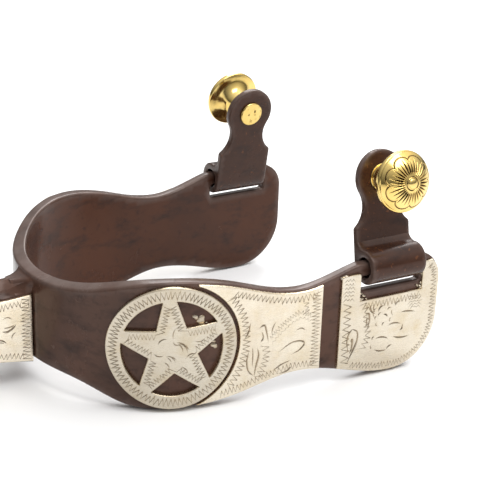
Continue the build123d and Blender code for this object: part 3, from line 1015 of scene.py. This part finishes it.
dark_brown, light_brown = (0.064, 0.0335, 0.0235), (0.097, 0.0480, 0.0330)
inner_brown, heat_red = (0.047, 0.0135, 0.0045), (0.100, 0.032, 0.0125)
smoke_brown, speck_brown = (0.024, 0.012, 0.009), (0.024, 0.011, 0.008)
rust_orange, worn_and_highlit_grey = (0.15, 0.055, 0.022), (0.140, 0.100, 0.086)
dull_silver, bright_silver = (0.68, 0.60, 0.48), (0.77, 0.70, 0.58)
tarnish_and_reflection_yellow, edge_yellow, cut_brown = (0.62, 0.50, 0.31), (0.66, 0.50, 0.27), (0.24, 0.170, 0.100)
dull_brass, bright_brass, brass_cut_brown = (0.80, 0.565, 0.175), (0.87, 0.665, 0.26), (0.13, 0.065, 0.02)


class Look:
    """A node material built on one Principled shader."""

    def __init__(self, name):
        self.material = bpy.data.materials.new(name)
        self.material.use_nodes = True
        self.tree = self.material.node_tree
        self.shader = next(n for n in self.tree.nodes if n.type == "BSDF_PRINCIPLED")
        self.place = self.node("ShaderNodeTexCoord").outputs["Object"]

    def feed(self, node, inputs):
        """Sets inputs of a node to numbers, to colours or from the outputs of other nodes."""
        for key, value in inputs.items():
            socket = node.inputs[key]
            if isinstance(value, bpy.types.NodeSocket):
                self.tree.links.new(value, socket)
            else:
                socket.default_value = (*value, 1.0) if socket.type == "RGBA" else value

    def node(self, kind, inputs=None, **settings):
        made = self.tree.nodes.new(kind)
        for key, value in settings.items():
            setattr(made, key, value)
        self.feed(made, inputs or {})
        return made

    def noise(self, scale, detail=4.0, roughness=0.55, stretch=(1, 1, 1)):
        """Noise by object position. scale is in features to the metre."""
        mapping = self.node("ShaderNodeMapping", {"Vector": self.place, "Scale": stretch})
        inputs = {"Vector": mapping.outputs[0], "Scale": scale, "Detail": detail, "Roughness": roughness}
        return self.node("ShaderNodeTexNoise", inputs).outputs["Fac"]

    def attribute(self, name):
        return self.node("ShaderNodeAttribute", attribute_name=name).outputs["Fac"]

    def ramp(self, source, low, high, start=0.0, end=1.0):
        """source between low and high becomes start to end."""
        inputs = {"Value": source, "From Min": low, "From Max": high, "To Min": start, "To Max": end}
        return self.node("ShaderNodeMapRange", inputs).outputs[0]

    def mix(self, factor, first, second):
        return self.node("ShaderNodeMix", {0: factor, 6: first, 7: second}, data_type="RGBA").outputs[2]

    def math(self, operation, first, second):
        return self.node("ShaderNodeMath", {0: first, 1: second}, operation=operation).outputs[0]

    def patches(self, under, over, low, high, strength, *noise):
        """A colour with patches of another, where the noise climbs from low to high."""
        return self.mix(self.ramp(self.noise(*noise), low, high, 0.0, strength), under, over)

    def bump(self, height, distance, strength, **normal):
        inputs = {"Height": height, "Distance": distance, "Strength": strength, **normal}
        return self.node("ShaderNodeBump", inputs).outputs[0]

    def finish(self, colour, roughness, normal, metallic, specular=0.5):
        self.feed(self.shader, {"Base Color": colour, "Roughness": roughness, "Normal": normal,
                                "Metallic": metallic, "Specular IOR Level": specular})
        return self.material


# A colour scaled by a tone: tones below 1 here are painted shade, tones above 1 painted light.
def shaded(colour, tone):
    return tuple(channel * tone for channel in colour)


def browned_steel(name, depth=1.0, red=0.0, rust=0.0):
    """Brown antiqued steel: dark chocolate, redder on inner faces, paler along the rims with rubbed wear and
    painted highlight.
    """
    look = Look(name)
    cut, rim = look.attribute("cut"), look.attribute("rim")
    # depth below 1 darkens these browns and reds as painted shade.
    colour = look.patches(shaded(dark_brown, depth), shaded(light_brown, depth), 0.35, 0.66, 1.0, 34, 5)
    colour = look.mix(look.ramp(cut, 0.0, 1.0, 0.75 * red, 0.75), colour, shaded(inner_brown, depth))
    heat = look.ramp(look.noise(26, 4, 0.55, (1, 1, 0.7)), 0.42, 0.66, 0.05, 0.5 + 0.2 * red)
    inner = look.math("MAXIMUM", look.ramp(cut, 0.0, 1.0, 0.35, 1.0), red)
    colour = look.mix(look.math("MULTIPLY", heat, inner), colour, shaded(heat_red, depth))
    colour = look.patches(colour, smoke_brown, 0.50, 0.70, 0.8, 90, 4, 0.6, (1, 1, 2.4))
    colour = look.patches(colour, speck_brown, 0.58, 0.74, 0.5, 420, 3, 0.6)
    if rust:
        colour = look.patches(colour, rust_orange, 0.67, 0.72, rust, 760, 2, 0.4)
    # Painted highlight along the rims, broken up by noise like rubbed wear.
    rim_wear_and_highlight = look.math("MULTIPLY", rim, look.ramp(look.noise(150, 4), 0.3, 0.7, 0.25, 0.9))
    colour = look.mix(rim_wear_and_highlight, colour, worn_and_highlit_grey)
    roughness = look.ramp(look.noise(70, 6, 0.6), 0.3, 0.7, 0.15, 0.30)
    grain = look.bump(look.noise(1500, 3, 0.6), 0.00004, 0.2)
    normal = look.bump(look.noise(160, 3), 0.00012, 0.22, Normal=grain)
    return look.finish(colour, roughness, normal, 0.12, 0.24)


def nickel_silver(name, tone):
    """Warm, pale nickel silver with polishing hairlines, darker in the engraver's cuts and at thin edges.
    tone scales its silver and yellow colours as painted shade below 1 and painted light above 1.
    """
    look = Look(name)
    colour = look.patches(shaded(dull_silver, tone), shaded(bright_silver, tone), 0.35, 0.65, 1.0, 60, 4)
    # Yellow mottling: tarnish together with painted reflection.
    colour = look.patches(colour, shaded(tarnish_and_reflection_yellow, tone), 0.48, 0.74, 0.6, 150, 5, 0.65)
    colour = look.mix(look.ramp(look.attribute("rim"), 0.6, 1.0, 0.0, 0.35), colour, edge_yellow)
    colour = look.mix(look.ramp(look.attribute("cut"), 0.0, 0.8, 0.0, 0.8), colour, cut_brown)
    hairs = look.noise(260, 3, 0.7, (1, 1, 14))
    roughness = look.ramp(hairs, 0.3, 0.7, 0.20, 0.36)
    normal = look.bump(look.noise(300, 3), 0.00008, 0.3, Normal=look.bump(hairs, 0.00002, 0.3))
    return look.finish(colour, roughness, normal, 1.0)


def polished_brass(name):
    """Bright yellow brass, turned and buffed, with brown left in the cuts."""
    look = Look(name)
    colour = look.patches(dull_brass, bright_brass, 0.35, 0.65, 1.0, 120, 4)
    colour = look.mix(look.ramp(look.attribute("cut"), 0.0, 0.8, 0.0, 0.92), colour, brass_cut_brown)
    roughness = look.ramp(look.noise(500, 4, 0.6), 0.3, 0.7, 0.09, 0.22)
    return look.finish(colour, roughness, look.bump(look.noise(700, 3), 0.00003, 0.25), 1.0)


# ---- pieces


def make_piece(name, shell, material, body, node, slot, smooth=35):
    """A Blender object from a shell, riding on its body and standing for its CAD node."""
    mesh = bpy.data.meshes.new(name)
    mesh.from_pydata((shell.points * MM).tolist(), [], shell.triangles.tolist())
    for key, values in (("cut", shell.cut), ("rim", shell.rim)):
        mesh.attributes.new(key, "FLOAT", "POINT").data.foreach_set("value", values.astype(np.float32))
    mesh.shade_smooth()
    mesh.set_sharp_from_angle(angle=radians(smooth))
    piece = bpy.data.objects.new(name, mesh)
    bpy.context.scene.collection.objects.link(piece)
    mesh.materials.append(material)
    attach(piece, body)
    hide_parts(node)


steel = browned_steel("browned_steel")
# The straps: the same steel darkened to 0.78 as painted shade, redder and with rust.
strap_steel_painted_shade = browned_steel("browned_steel_straps_painted_shade", 0.78, 0.6, 0.6)
# Each plate's tone: painted shade on the conchos and tips, painted light on the shank plates.
silver = {
    "star_concho": nickel_silver("nickel_silver_conchos_painted_shade", 0.76),
    "side_plate": nickel_silver("nickel_silver_sides", 1.0),
    "tip_plate": nickel_silver("nickel_silver_tips_painted_shade", 0.87),
    "shank_plate": nickel_silver("nickel_silver_shank_painted_light", 1.24),
}
brass = polished_brass("polished_brass")

frame_steel = (steel, "spur_frame")
shank = bevelled_copy("shank", 0.55).joined(weld_shell())
make_piece("browned_band", band_shell(), *frame_steel, "heel_band", "browned_steel")
make_piece("forked_shank", shank, *frame_steel, "shank", "browned_steel")
make_piece("peened_pin", pin_shell(), *frame_steel, "rowel_pin", "browned_steel")
make_piece("star_rowel", rowel_shell(), steel, "rowel", "rowel", "rowel_steel")

for node, shell in (
    ("star_concho", concho_shell()),
    ("side_plate", side_plate_shell()),
    ("tip_plate", tip_plate_shell()),
    ("shank_plate", shank_plate_shell()),
):
    for name, form in ((node + "_right", shell), (node + "_left", shell.mirrored())):
        make_piece("engraved_" + name, form, silver[node], "spur_frame", name, "nickel_silver", 20)

hanger, button = hanger_shell(), button_shell()
for side, strap, stud in (("right", hanger, button), ("left", hanger.mirrored(), button.mirrored())):
    body = "hanger_" + side
    strap, stud = strap.shifted(slide(side)), stud.shifted(slide(side))
    make_piece("rolled_" + body, strap, strap_steel_painted_shade, body, "button_" + body, "browned_steel")
    make_piece("flower_button_" + side, stud, brass, body, "button_" + side, "polished_brass", 30)

# ---- camera, floor and light

camera_azimuth = radians(-29.4779)
camera_elevation = radians(23.5596)
camera_roll = radians(-1.2822)
camera_place = (-0.1797812, -0.3776019, 0.2042301)
camera_sensor, camera_lens = 36, 106.09782
camera_shift = (0.1074, 0.0868)

floor_radius = 9.0            # metres, like all the places of the camera and the lights
floor_drop = 0.0002           # clear of the spur's lowest point
room_heights = (0.05, 0.85, 0.10, 1.42)       # Z of the view from and to, and the brightness there
room_sides = (-0.7, 0.5, 0.5, 1.12)           # the same by X, a share of that
light_aim = (0.02, -0.01, 0.02)


def make_camera():
    camera = bpy.data.objects.new("camera", bpy.data.cameras.new("camera"))
    bpy.context.scene.collection.objects.link(camera)
    a, e, r = camera_azimuth, camera_elevation, camera_roll
    forward = Vector((-sin(a) * cos(e), cos(a) * cos(e), -sin(e)))
    level = Vector((cos(a), sin(a), 0))
    upright = level.cross(forward)
    right = level * cos(r) - upright * sin(r)
    up = level * sin(r) + upright * cos(r)
    frame_axes = Matrix((right, up, -forward)).transposed().to_4x4()
    camera.matrix_world = Matrix.Translation(camera_place) @ frame_axes
    camera.data.sensor_width = camera_sensor
    camera.data.lens = camera_lens
    camera.data.shift_x, camera.data.shift_y = camera_shift
    camera.data.clip_start = 0.01
    bpy.context.scene.camera = camera


def make_floor():
    """A wide disc of pale paper."""
    form = bmesh.new()
    bmesh.ops.create_circle(form, cap_ends=True, radius=floor_radius, segments=96)
    mesh = bpy.data.meshes.new("floor")
    form.to_mesh(mesh)
    form.free()
    floor = bpy.data.objects.new("floor", mesh)
    bpy.context.scene.collection.objects.link(floor)
    floor.location.z = -floor_drop
    look = Look("white_paper")
    tone = look.mix(look.noise(30, 3), (0.93, 0.93, 0.93), (0.95, 0.95, 0.95))
    paper = look.bump(look.noise(900, 3), 0.00005, 0.05)
    mesh.materials.append(look.finish(tone, 0.6, paper, 0.0, 0.3))


def area_light(name, place, size, power):
    light = bpy.data.lights.new(name, "AREA")
    light.size = size
    light.energy = power
    lamp = bpy.data.objects.new(name, light)
    bpy.context.scene.collection.objects.link(lamp)
    lamp.location = place
    lamp.rotation_euler = (Vector(light_aim) - Vector(place)).to_track_quat("-Z", "Y").to_euler()


def make_room():
    """A white room, brightest overhead, dimmer at the height of the horizon and behind the heel."""
    world = bpy.data.worlds.new("white_room")
    bpy.context.scene.world = world
    world.use_nodes = True
    nodes, links = world.node_tree.nodes, world.node_tree.links
    background = nodes["Background"]
    split = nodes.new("ShaderNodeSeparateXYZ")
    links.new(nodes.new("ShaderNodeTexCoord").outputs["Generated"], split.inputs[0])
    product = nodes.new("ShaderNodeMath")
    product.operation = "MULTIPLY"
    for axis, limits, factor in zip("ZX", (room_heights, room_sides), product.inputs):
        fade = nodes.new("ShaderNodeMapRange")
        links.new(split.outputs[axis], fade.inputs["Value"])
        for key, value in zip(("From Min", "From Max", "To Min", "To Max"), limits):
            fade.inputs[key].default_value = value
        links.new(fade.outputs[0], factor)
    links.new(product.outputs[0], background.inputs["Strength"])
    background.inputs["Color"].default_value = (1, 1, 1, 1)
    bpy.context.scene.view_settings.view_transform = "Standard"


make_camera()
make_floor()
make_room()
area_light("key", (0.12, -0.35, 0.75), 0.5, 3.4)
area_light("rim", (0.35, 0.45, 0.55), 0.4, 2.5)
